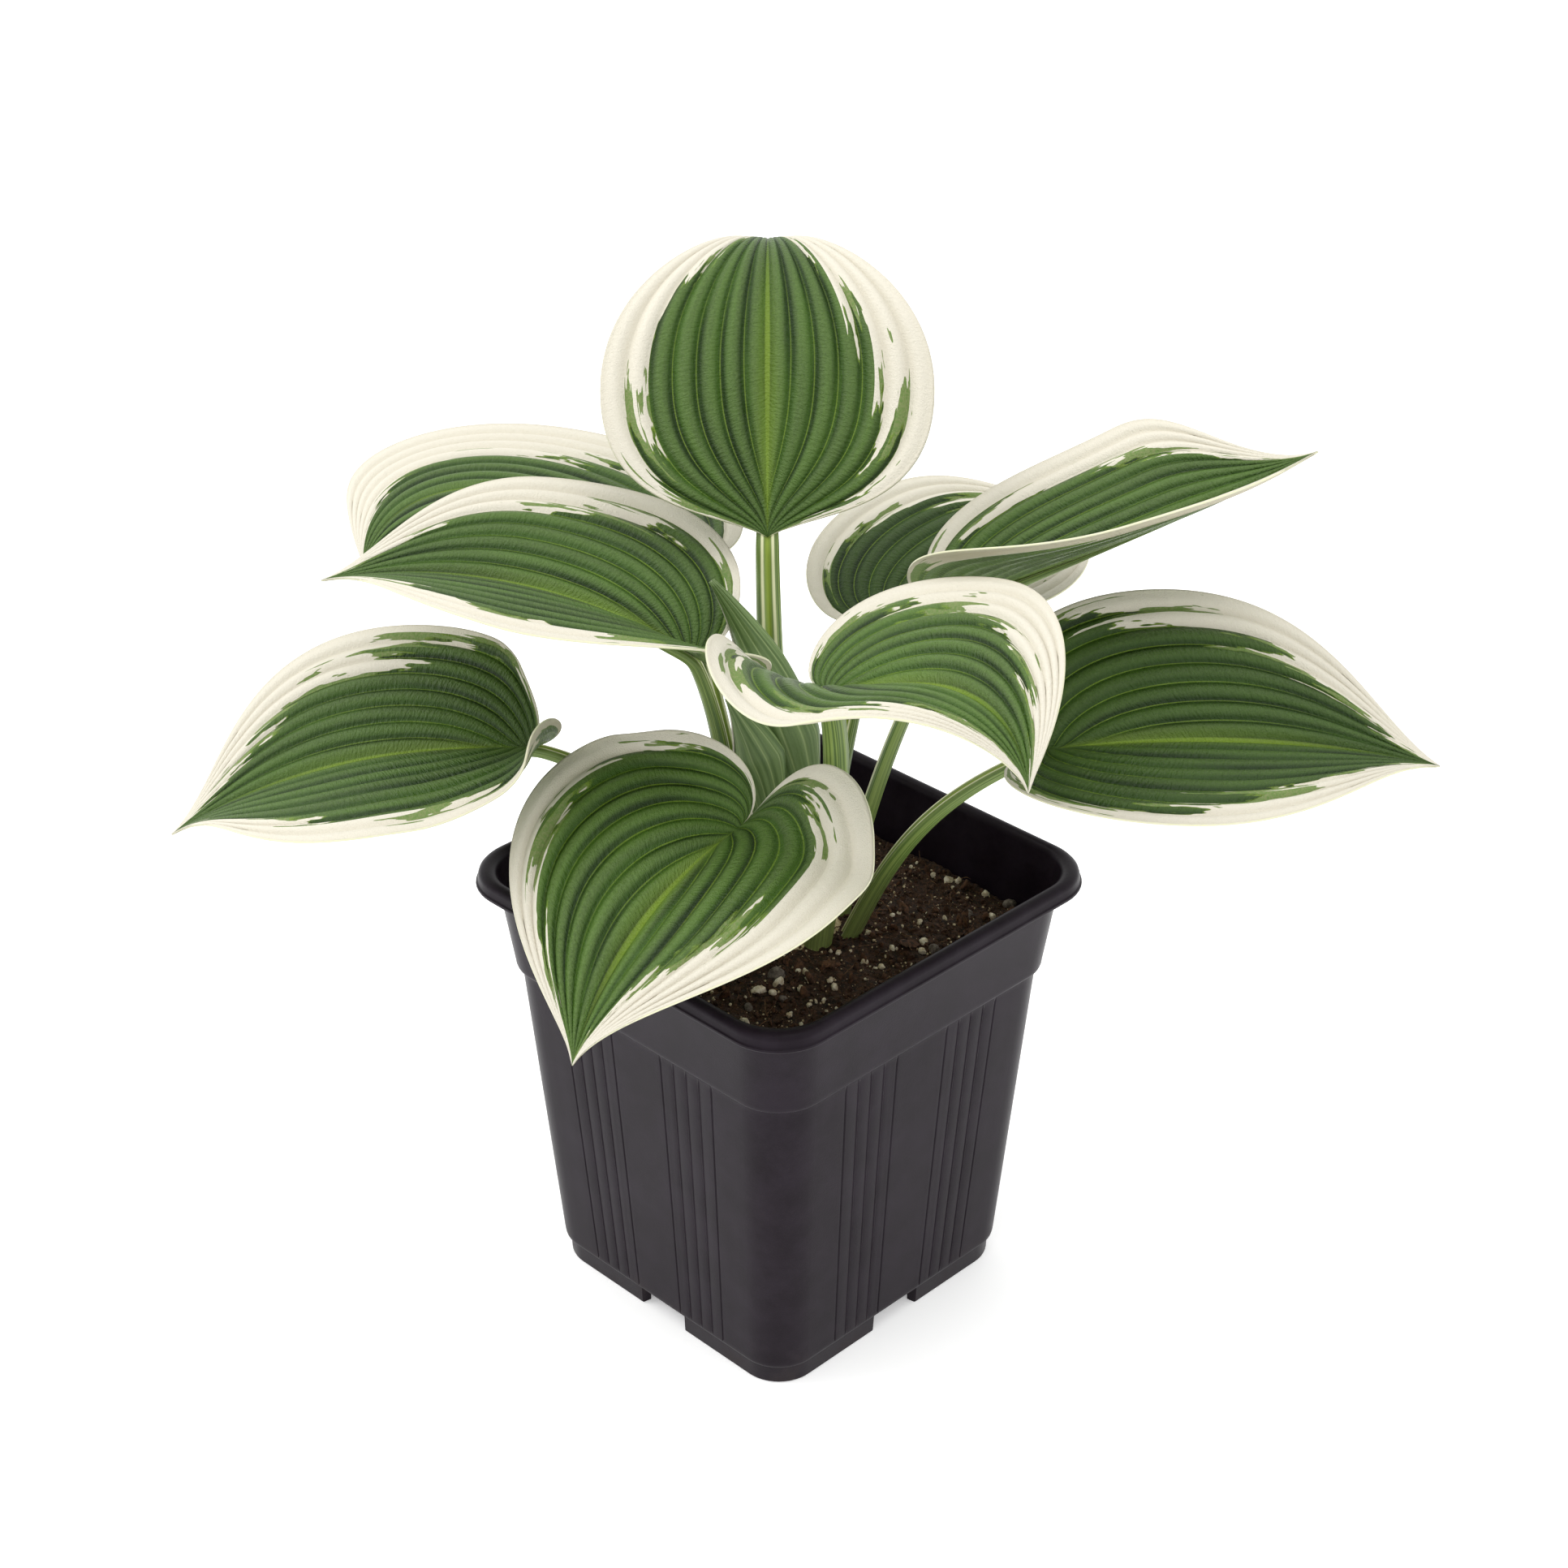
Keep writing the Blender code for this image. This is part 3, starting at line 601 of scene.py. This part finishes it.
def blade_points(leaf, along, across):
    """Places on the smooth blade, and the width of one pleat there."""
    left = across >= 0
    out = np.abs(across)
    margins = [outline(leaf, lobe) for lobe in leaf["lobe"]]
    edge_x, edge_y = (np.where(left, *(np.interp(along, run, line[:, i]) for run, line in margins))
                      for i in (0, 1))
    x = (1 - out) * along + out * edge_x
    y = out * edge_y / leaf["half"]
    share, line, side, normal = spine(leaf)
    at = [at_shares(x, share, table) for table in (line, side, normal)]
    lift = np.radians(np.where(left, *leaf["lift"]))
    curl = np.radians(np.where(left, *leaf["curl"]))
    lobe = np.where(left, *leaf["lobe"])
    near_base = np.clip((leaf["reach"] - x) / (leaf["reach"] + lobe), 0, 1) ** 2
    lift = lift + np.radians(np.where(left, *leaf["funnel"])) * near_base
    parts = (np.arange(24) + 0.5) / 24
    angle = lift[..., None] + (curl * y)[..., None] * parts
    width = leaf["half"] * leaf["length"] * MM * y
    sideways = np.where(left, 1, -1) * np.cos(angle).mean(-1) * width
    upwards = np.sin(angle).mean(-1) * width
    points = at[0] + at[1] * sideways[..., None] + at[2] * upwards[..., None]
    return points, edge_y * leaf["length"] * MM / leaf["veins"]


def vein_share(along, out):
    """How far out a place lies as the veins count it: they leave the midrib one by one."""
    return out + (1 - out) * VEIN_START * np.exp(-along / VEIN_RUN)


def pleat_depth(leaf, along, across, width):
    """How far the surface sinks below the smooth blade: deepest on the veins."""
    out = np.abs(across)
    wave = np.abs(np.sin(pi * vein_share(along, out) * leaf["veins"]))
    wave = wave * (1 - np.exp(-(out / 0.05) ** 2))
    fade = np.clip((1 - out) / 0.10, 0, 1) * np.clip(along / 0.05, 0, 1)
    return (1 - wave) * width * PLEAT_SHARE * fade


def make_blade(name, leaf):
    """The pleated blade, whose surface map runs along the veins."""
    bm = bmesh.new()
    bmesh.ops.create_grid(bm, x_segments=BLADE_STEPS[0], y_segments=BLADE_STEPS[1], size=1)
    verts = list(bm.verts)
    bm.verts.index_update()
    flat = np.array([vert.co for vert in verts])
    along, across = (flat[:, 0] + 1) / 2, flat[:, 1]
    shares = vein_share(along, np.abs(across))
    layer = bm.loops.layers.uv.new("surface")
    for face in bm.faces:
        side = 1 if face.calc_center_median().y > 0 else -1
        for loop in face.loops:
            spot = loop.vert.index
            loop[layer].uv = (along[spot], (side * shares[spot] + 1) / 2)
    points, width = blade_points(leaf, along, across)
    for vert, point in zip(verts, points):
        vert.co = point
    bm.normal_update()
    for vert, depth in zip(verts, pleat_depth(leaf, along, across, width)):
        vert.co -= vert.normal * float(depth)
    bmesh.ops.remove_doubles(bm, verts=bm.verts, dist=1e-6)
    blade = piece(bm, name + "_blade", [name + "_leaf_blade"], "blade",
                  leaf_paint(name + "_leaf_top", leaf),
                  leaf_paint(name + "_leaf_under", leaf, True), EDGE_PAINT, sharp=180)
    thick = thicken(blade, BLADE_THICKNESS)
    thick.material_offset = 1
    thick.material_offset_rim = 2
    return blade


def stem_path(leaf):
    """The stem's line from the crown to the blade, and on below the midrib as its keel."""
    foot = np.array([*leaf["foot"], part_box("crown_and_roots")[1].z / MM - STEM_SINK])
    base = np.array(leaf["base"], float)
    rise = bezier([foot, foot + leaf["start"], base - leaf["end"], base], STEM_STEPS) * MM
    low, high = leaf["thick"]
    radii = np.linspace(low, high, len(rise)) * MM
    share, line, _, normal = spine(leaf)
    keel = np.linspace(*KEEL_RUN, STEM_STEPS // 2)
    thin = high * MM * (1 - keel / KEEL_POINT) ** KEEL_TAPER
    sink = blade_points(leaf, keel, 0 * keel)[1] * PLEAT_SHARE + thin
    under = at_shares(keel, share, line) - at_shares(keel, share, normal) * sink[:, None]
    path = np.vstack([rise, under])
    radii = np.r_[radii, thin]
    for _ in range(SMOOTHING):
        path[1:-1] = (path[:-2] + 2 * path[1:-1] + path[2:]) / 4
        radii[1:-1] = (radii[:-2] + 2 * radii[1:-1] + radii[2:]) / 4
    return path, radii


def make_stem(name, leaf):
    """The ribbed stem, with its channel open towards the middle of the plant."""
    path, radii = stem_path(leaf)
    head = radians(leaf["head"])
    open_side, flank = directions(path, np.array([-cos(head), -sin(head), 1.0]))
    share = np.linspace(0, 1, len(path))

    def place(along, across):
        angle = across * pi
        centre, face, side = (at_shares(along, share, table) for table in (path, open_side, flank))
        radius = np.interp(along, share, radii)
        channel = 0.62 * np.exp(-(angle / 0.5) ** 2)
        ribs = 0.035 * np.cos(angle * 11)
        reach = radius * (1 - channel + ribs)
        return (centre + face * (np.cos(angle) * reach * 0.92)[:, None]
                + side * (np.sin(angle) * reach * 1.08)[:, None])

    bm = grown_grid((len(path), STEM_SIDES), place)
    close_ends(bm)
    outward(bm)
    return piece(bm, name + "_stem", [name + "_leaf_stem"], "stem",
                 stem_paint(name + "_stem_skin", leaf["seed"]), sharp=60)


def make_young(name, young):
    """A blade rolled round itself, whose outer edge runs down the side that faces out."""
    line = bezier(young["points"], STEM_STEPS) * MM
    share = np.linspace(0, 1, len(line))
    broad, thin = directions(line, np.array([cos(pi / 4), sin(pi / 4), 0.0]))
    stops, girth = zip(*young["girth"])

    def place(along, across):
        turn = across * pi * 1.2 + 0.6 - along * 1.4
        centre, far, near = (at_shares(along, share, table) for table in (line, broad, thin))
        radius = np.interp(along, stops, girth) * MM
        veins = 1 + 0.03 * np.abs(np.sin(across * pi * (ROLL_VEINS / 2)))
        reach = radius * (0.88 + 0.06 * (across + 1)) * veins
        return (centre + far * (np.cos(turn) * reach)[:, None]
                + near * (np.sin(turn) * reach * 0.5)[:, None])

    bm = grown_grid((len(line), ROLL_SIDES), place)
    outward(bm)
    leaf = piece(bm, name + "_young_roll", [name + "_young_leaf"], "young_leaf",
                 young_paint(name + "_young_skin", young["seed"]), sharp=180)
    thicken(leaf, ROLL_THICKNESS)
    return leaf


# ---------------------------------------------------------------- pot

def corner_points(radius, steps):
    """The round corner of a unit square, from its right side to its far side."""
    middle = 1 - radius
    angles = np.linspace(0, pi / 2, steps + 1)
    return [(middle + radius * cos(a), middle + radius * sin(a)) for a in angles]


def side_shares():
    """Where the ring round the pot has points along one side: dense at ribs and notch."""
    around = [-1, -0.55, -0.2, 0, 0.2, 0.55, 1]
    shares = {round(middle + part * GROOVE_WIDTH * 1.6, 5)
              for middle in (*GROOVES, *RIDGES) for part in around}
    shares |= {NOTCH_SHARE + 0.04, NOTCH_SHARE + 0.0135, 0.145, 0.12, 0.08, 0.04, 0.62, 0.69}
    half = sorted(shares)
    return [-share for share in reversed(half)] + [0.0] + half


def unit_ring():
    """One side and its corner, four times round."""
    side = [(1.0, share) for share in side_shares()] + corner_points(CORNER, steps=12)
    points = []
    for turn in range(4):
        spin = Matrix.Rotation(turn * pi / 2, 2)
        points += [spin @ Vector(point) for point in side]
    return points


# (half width, height) in millimetres, from the foot's inner edge round to the inner floor
POT_PROFILE = [
    (62.1, 0), (62.6, 0), (65.3, 0), (65.9, 0.3), (66.1, 0.9), (66.4, 8.2), (66.6, 8.8),
    (67.4, 9.1), (67.8, 9.6), (68.0, 10.6), (68.1, 11.5), (68.15, 12.2), (77.1, 137.6),
    (77.2, 139.2), (77.35, 140.8), (77.5, 141.6), (78.4, 142.2), (79.0, 142.8), (79.3, 143.8),
    (79.4, 145.0), (83.2, 176.9), (83.4, 177.8), (84.2, 178.3), (88.2, 178.5), (89.2, 178.6),
    (89.8, 179.0), (90.0, 179.5), (89.9, 180.2), (89.5, 180.6), (89.3, 181.0), (89.2, 183.2),
    (88.9, 184.4), (88.2, 185.3), (87.2, 185.9), (86.2, 186.0), (85.2, 185.8), (84.3, 185.2),
    (83.7, 184.3), (83.4, 183.0), (83.1, 181.0), (82.0, 176.4), (81.8, 175.6), (78.0, 145.0),
    (77.7, 144.0), (76.6, 143.0), (76.1, 142.0), (75.7, 138.0), (66.3, 9.5), (62.1, 7.6),
]


def rib_relief(share):
    """How far the body's wall stands out or in at a share of its half width."""
    share = abs(share)
    relief = 0.0
    for middle in GROOVES:
        gap = (share - middle) / GROOVE_WIDTH
        relief -= GROOVE_DEPTH * max(0.0, 1 - abs(gap) / 0.9)
        relief += RIDGE_HEIGHT * max(0.0, 1 - abs(abs(gap) - 1.25) / 0.4)
    for middle in RIDGES:
        gap = (share - middle) / GROOVE_WIDTH
        relief += RIDGE_HEIGHT * max(0.0, 1 - abs(gap) / 0.9)
        relief -= RIDGE_HEIGHT * 0.8 * max(0.0, 1 - abs(abs(gap) - 1.1) / 0.5)
    return relief


def make_pot(paint):
    """The wall, collar, rim and foot: one ring drawn out along the profile."""
    bm = bmesh.new()
    ring = unit_ring()
    bmesh.ops.create_circle(bm, segments=len(ring), radius=1)
    for vert, point in zip(bm.verts, ring):
        vert.co = (*point, 0)
    first_half, first_z = (size * MM for size in POT_PROFILE[0])
    bmesh.ops.scale(bm, vec=(first_half, first_half, 1), verts=bm.verts)
    bmesh.ops.translate(bm, vec=(0, 0, first_z), verts=bm.verts)
    edges = list(bm.edges)
    for (half, z), (next_half, next_z) in zip(POT_PROFILE, POT_PROFILE[1:] + POT_PROFILE[:1]):
        grown = bmesh.ops.extrude_edge_only(bm, edges=edges)["geom"]
        verts, edges = only(bmesh.types.BMVert, grown), only(bmesh.types.BMEdge, grown)
        wider = next_half / half
        bmesh.ops.scale(bm, vec=(wider, wider, 1), verts=verts)
        bmesh.ops.translate(bm, vec=(0, 0, (next_z - z) * MM), verts=verts)
    bmesh.ops.remove_doubles(bm, verts=bm.verts, dist=2e-5)
    for vert in bm.verts:
        shape_wall(vert)
    outward(bm)
    return piece(bm, "pot_wall", POT_NODES, "pot", paint, sharp=32)


def shape_wall(vert):
    """Adds the ribs to the body's outside, and lifts the foot over its notches."""
    x, y, z = vert.co
    half = max(abs(x), abs(y))
    axis = 0 if abs(x) >= abs(y) else 1
    share = vert.co[1 - axis] / half
    middle_half, middle_z = WALL_MIDDLE
    outer = half > middle_half + (z - middle_z) * WALL_SLOPE
    if BODY_LOW_Z < z < BODY_TOP_Z and outer:
        vert.co[axis] += rib_relief(share) * (1 if vert.co[axis] > 0 else -1)
    if z < FOOT_SOLE and abs(share) < NOTCH_SHARE:
        vert.co.z = NOTCH_TOP if half < SOLE_INNER_HALF else NOTCH_TOP + z * 0.3


def make_floor_plate(paint):
    """The pot's floor with its four drain holes."""
    bm = bmesh.new()
    ring = corner_points(CORNER, steps=10)
    outer = [Matrix.Rotation(turn * pi / 2, 2) @ Vector(p) for turn in range(4) for p in ring]
    bmesh.ops.create_circle(bm, segments=len(outer), radius=1)
    for vert, point in zip(bm.verts, outer):
        vert.co = (point.x * PLATE_HALF, point.y * PLATE_HALF, FLOOR_LOW + SEAM)
    for turn in range(4):
        spot = Matrix.Rotation(turn * pi / 2, 4, "Z") @ Matrix.Translation(
            (DRAIN_OFFSET, 0, FLOOR_LOW + SEAM))
        bmesh.ops.create_circle(bm, segments=28, radius=DRAIN_RADIUS, matrix=spot)
    bmesh.ops.triangle_fill(bm, use_beauty=True, use_dissolve=False, edges=bm.edges)
    grown = bmesh.ops.extrude_face_region(bm, geom=bm.faces, use_keep_orig=True)["geom"]
    bmesh.ops.translate(bm, vec=(0, 0, FLOOR_TOP - FLOOR_LOW - 2 * SEAM),
                        verts=only(bmesh.types.BMVert, grown))
    outward(bm)
    return piece(bm, "pot_floor", POT_NODES[:1], "pot", paint, sharp=32)


# ---------------------------------------------------------------- soil

def round_square(x, y):
    """Moves a point of the unit square into the same place of one with round corners."""
    reach = max(abs(x), abs(y), 1e-9)
    far = Vector((abs(x), abs(y))) / reach
    middle = 1 - CORNER
    if min(far) > middle:
        far = Vector((middle, middle)) + (far - Vector((middle, middle))).normalized() * CORNER
    far *= reach
    return Vector((far.x if x >= 0 else -far.x, far.y if y >= 0 else -far.y))


def soil_height(x, y):
    """The bumpy top of the soil: a low mound, hollows and crumbs."""
    out = max(abs(x), abs(y)) / SOIL_HALF
    mound = SOIL_EDGE_Z + (SOIL_TOP_Z - SOIL_EDGE_Z) * max(0.0, min(1.0, (1 - out) / 0.55))
    here = Vector((x, y, 0)) / MM
    coarse = noise.noise(here / 17) * 1.8 + noise.noise(here / 7 + Vector((9, 0, 0))) * 1.1
    fine = noise.noise(here / 2.6) * 0.7 + noise.noise(here / 1.3) * 0.35
    return mound + (coarse + fine) * MM - 0.0008


def make_soil(paint):
    """The body of the soil: its bumpy top, a tapered side and a flat underside."""
    bm = bmesh.new()
    bmesh.ops.create_grid(bm, x_segments=SOIL_STEPS, y_segments=SOIL_STEPS, size=1)
    for vert in bm.verts:
        spot = round_square(vert.co.x, vert.co.y) * SOIL_HALF
        vert.co = (spot.x, spot.y, soil_height(spot.x, spot.y))
    edges = [edge for edge in bm.edges if edge.is_boundary]
    last_half = SOIL_HALF
    for half, z in SOIL_WALL:
        grown = bmesh.ops.extrude_edge_only(bm, edges=edges)["geom"]
        edges = only(bmesh.types.BMEdge, grown)
        reach = half / last_half
        for vert in {vert for edge in edges for vert in edge.verts}:
            vert.co = (vert.co.x * reach, vert.co.y * reach, z)
        last_half = half
    close_ends(bm)
    outward(bm)
    return piece(bm, "soil_body", ["potting_soil"], "soil", paint, sharp=180)


def scatter(chance, count, reach):
    """Spots on top of the soil."""
    spots = []
    while len(spots) < count:
        x, y = chance.uniform(-1, 1), chance.uniform(-1, 1)
        spot = round_square(x, y) * SOIL_HALF * reach
        spots.append(Vector((spot.x, spot.y, soil_height(spot.x, spot.y))))
    return spots


def add_grain(bm, chance, spot, size, squash, rough, finer, sink):
    """One irregular grain half sunk in the soil."""
    turn = Euler([chance.uniform(0, 2 * pi) for _ in range(3)]).to_matrix().to_4x4()
    shape = Matrix.Diagonal((*squash, 1))
    lift = Vector((0, 0, size * (0.5 - sink)))
    move = Matrix.Translation(spot + lift)
    made = bmesh.ops.create_icosphere(bm, subdivisions=finer, radius=size,
                                      matrix=move @ turn @ shape)
    for vert in made["verts"]:
        vert.co += Vector([chance.uniform(-1, 1) for _ in range(3)]) * size * rough


def gathered(spots, add):
    """One bmesh with a small shape at each spot, made in lots and then joined."""
    whole = bmesh.new()
    mesh = bpy.data.meshes.new("lot")
    for first in range(0, len(spots), LOT):
        bm = bmesh.new()
        for spot in spots[first:first + LOT]:
            add(bm, spot)
        outward(bm)
        bm.to_mesh(mesh)
        bm.free()
        whole.from_mesh(mesh)
    bpy.data.meshes.remove(mesh)
    return whole


def make_grains(name, paint, seed, count, sizes, squash=(1, 1, 1), rough=0.2, finer=2,
                sink=0.2):
    """Grains of one kind, strewn over the soil as one piece: sizes in millimetres."""
    chance = random.Random(seed)

    def add(bm, spot):
        size = sizes[0] + (sizes[1] - sizes[0]) * chance.random() ** 2
        stretch = [part * chance.uniform(0.75, 1.25) for part in squash]
        add_grain(bm, chance, spot, size * MM, stretch, rough, finer, sink)

    spots = scatter(chance, count, GRAIN_REACH)
    return piece(gathered(spots, add), name, [], "soil", paint, sharp=60)


def add_fibre(bm, chance, spot):
    """A thin bent root or strand, four-sided, closed at both ends."""
    length = chance.uniform(4, 11) * MM
    heading, rise = chance.uniform(0, 2 * pi), chance.uniform(0, 0.5)
    made = bmesh.ops.create_circle(bm, segments=4, radius=chance.uniform(0.12, 0.3) * MM,
                                   cap_ends=True, matrix=Matrix.Translation(spot)
                                   @ Euler((0, pi / 2 - rise, heading)).to_matrix().to_4x4())
    face = made["verts"][0].link_faces[0]
    for _ in range(FIBRE_STEPS):
        grown = bmesh.ops.extrude_face_region(bm, geom=[face])["geom"]
        face = only(bmesh.types.BMFace, grown)[0]
        heading += chance.uniform(-0.5, 0.5)
        rise += chance.uniform(-0.35, 0.3)
        move = Vector((cos(heading) * cos(rise), sin(heading) * cos(rise), sin(rise)))
        bmesh.ops.translate(bm, vec=move * length / FIBRE_STEPS,
                            verts=only(bmesh.types.BMVert, grown))


def make_fibres(paint):
    """Fine roots and strands that lie on the soil."""
    chance = random.Random(5)
    spots = scatter(chance, FIBRE_COUNT, FIBRE_REACH)
    bm = gathered(spots, lambda lot, spot: add_fibre(lot, chance, spot))
    return piece(bm, "soil_fibres", [], "soil", paint, sharp=60)


# ---------------------------------------------------------------- stage

def make_camera():
    rise, turn = radians(CAMERA_RISE), radians(CAMERA_TURN)
    back = Vector((sin(turn) * cos(rise), -cos(turn) * cos(rise), sin(rise)))
    up = Vector((-sin(turn) * sin(rise), cos(turn) * sin(rise), cos(rise)))
    right = Vector((cos(turn), sin(turn), 0))
    data = bpy.data.cameras.new("camera")
    data.lens = CAMERA_LENS
    data.sensor_width = CAMERA_SENSOR
    data.clip_start = 0.05
    camera = placed("camera", data)
    place = back * CAMERA_DISTANCE + up * CAMERA_UP + right * CAMERA_RIGHT
    facing = Matrix((right, up, back)).transposed().to_4x4()
    camera.matrix_world = Matrix.Translation(place) @ facing
    bpy.context.scene.camera = camera


def add_light(name, place, aim, size, power):
    data = bpy.data.lights.new(name, "AREA")
    data.shape = "DISK"
    data.size = size
    data.energy = power
    light = placed(name, data)
    light.location = place
    light.rotation_mode = "QUATERNION"
    light.rotation_quaternion = (Vector(aim) - Vector(place)).to_track_quat("-Z", "Y")


def make_stage():
    """A pale floor under a white sky, with soft lights."""
    bm = bmesh.new()
    bmesh.ops.create_grid(bm, x_segments=8, y_segments=8, size=FLOOR_HALF)
    mesh = bpy.data.meshes.new("studio_floor")
    bm.to_mesh(mesh)
    bm.free()
    mesh.materials.append(floor_paint())
    floor = placed("studio_floor", mesh)
    world = bpy.data.worlds.new("studio")
    bpy.context.scene.world = world
    world.use_nodes = True
    sky = world.node_tree.nodes["Background"]
    sky.inputs["Color"].default_value = (1, 1, 1, 1)
    sky.inputs["Strength"].default_value = SKY_STRENGTH
    for name, (place, aim, size, power) in LIGHTS.items():
        add_light(name, place, aim, size, power)
    bpy.context.scene.view_settings.view_transform = "Standard"


# ---------------------------------------------------------------- build

EDGE_PAINT = rim_paint()
make_camera()
make_stage()
for leaf_name, own in LEAVES.items():
    whole = {**PLAIN, **own}
    make_blade(leaf_name, whole)
    make_stem(leaf_name, whole)
for young_name, young_leaf in YOUNG.items():
    make_young(young_name, young_leaf)
plastic = pot_paint()
make_pot(plastic)
make_floor_plate(plastic)
make_soil(soil_paint("moist_peat", paint_colour(17, 11, 7), paint_colour(66, 43, 29)))
make_grains("peat_crumbs",
            soil_paint("peat_crumb", paint_colour(30, 19, 13), paint_colour(80, 53, 36)),
            seed=2, count=3000, sizes=(0.35, 1.5), rough=0.32, finer=1, sink=0.3)
make_grains("perlite",
            grain_paint("perlite", paint_colour(232, 222, 202), paint_colour(190, 170, 140)),
            seed=8, count=200, sizes=(0.6, 2.3), squash=(1.2, 0.95, 0.8))
make_grains("perlite_specks",
            grain_paint("perlite_specks", paint_colour(222, 206, 176), paint_colour(168, 144, 110)),
            seed=9, count=1500, sizes=(0.2, 0.65), finer=1)
make_grains("bark_bits",
            grain_paint("bark", paint_colour(96, 64, 42), paint_colour(38, 24, 16)),
            seed=12, count=220, sizes=(1.0, 3.2), squash=(1.7, 0.8, 0.45), rough=0.16)
make_grains("pebbles",
            grain_paint("pebble", paint_colour(120, 110, 102), paint_colour(74, 64, 58)),
            seed=15, count=14, sizes=(1.6, 3.4), squash=(1.2, 1, 0.8), rough=0.08, sink=0.25)
make_fibres(grain_paint("fibre", paint_colour(118, 88, 62), paint_colour(60, 40, 28)))
crown_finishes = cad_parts["crown_and_roots"].data.materials
for index in range(len(crown_finishes)):
    crown_finishes[index] = crown_paint()
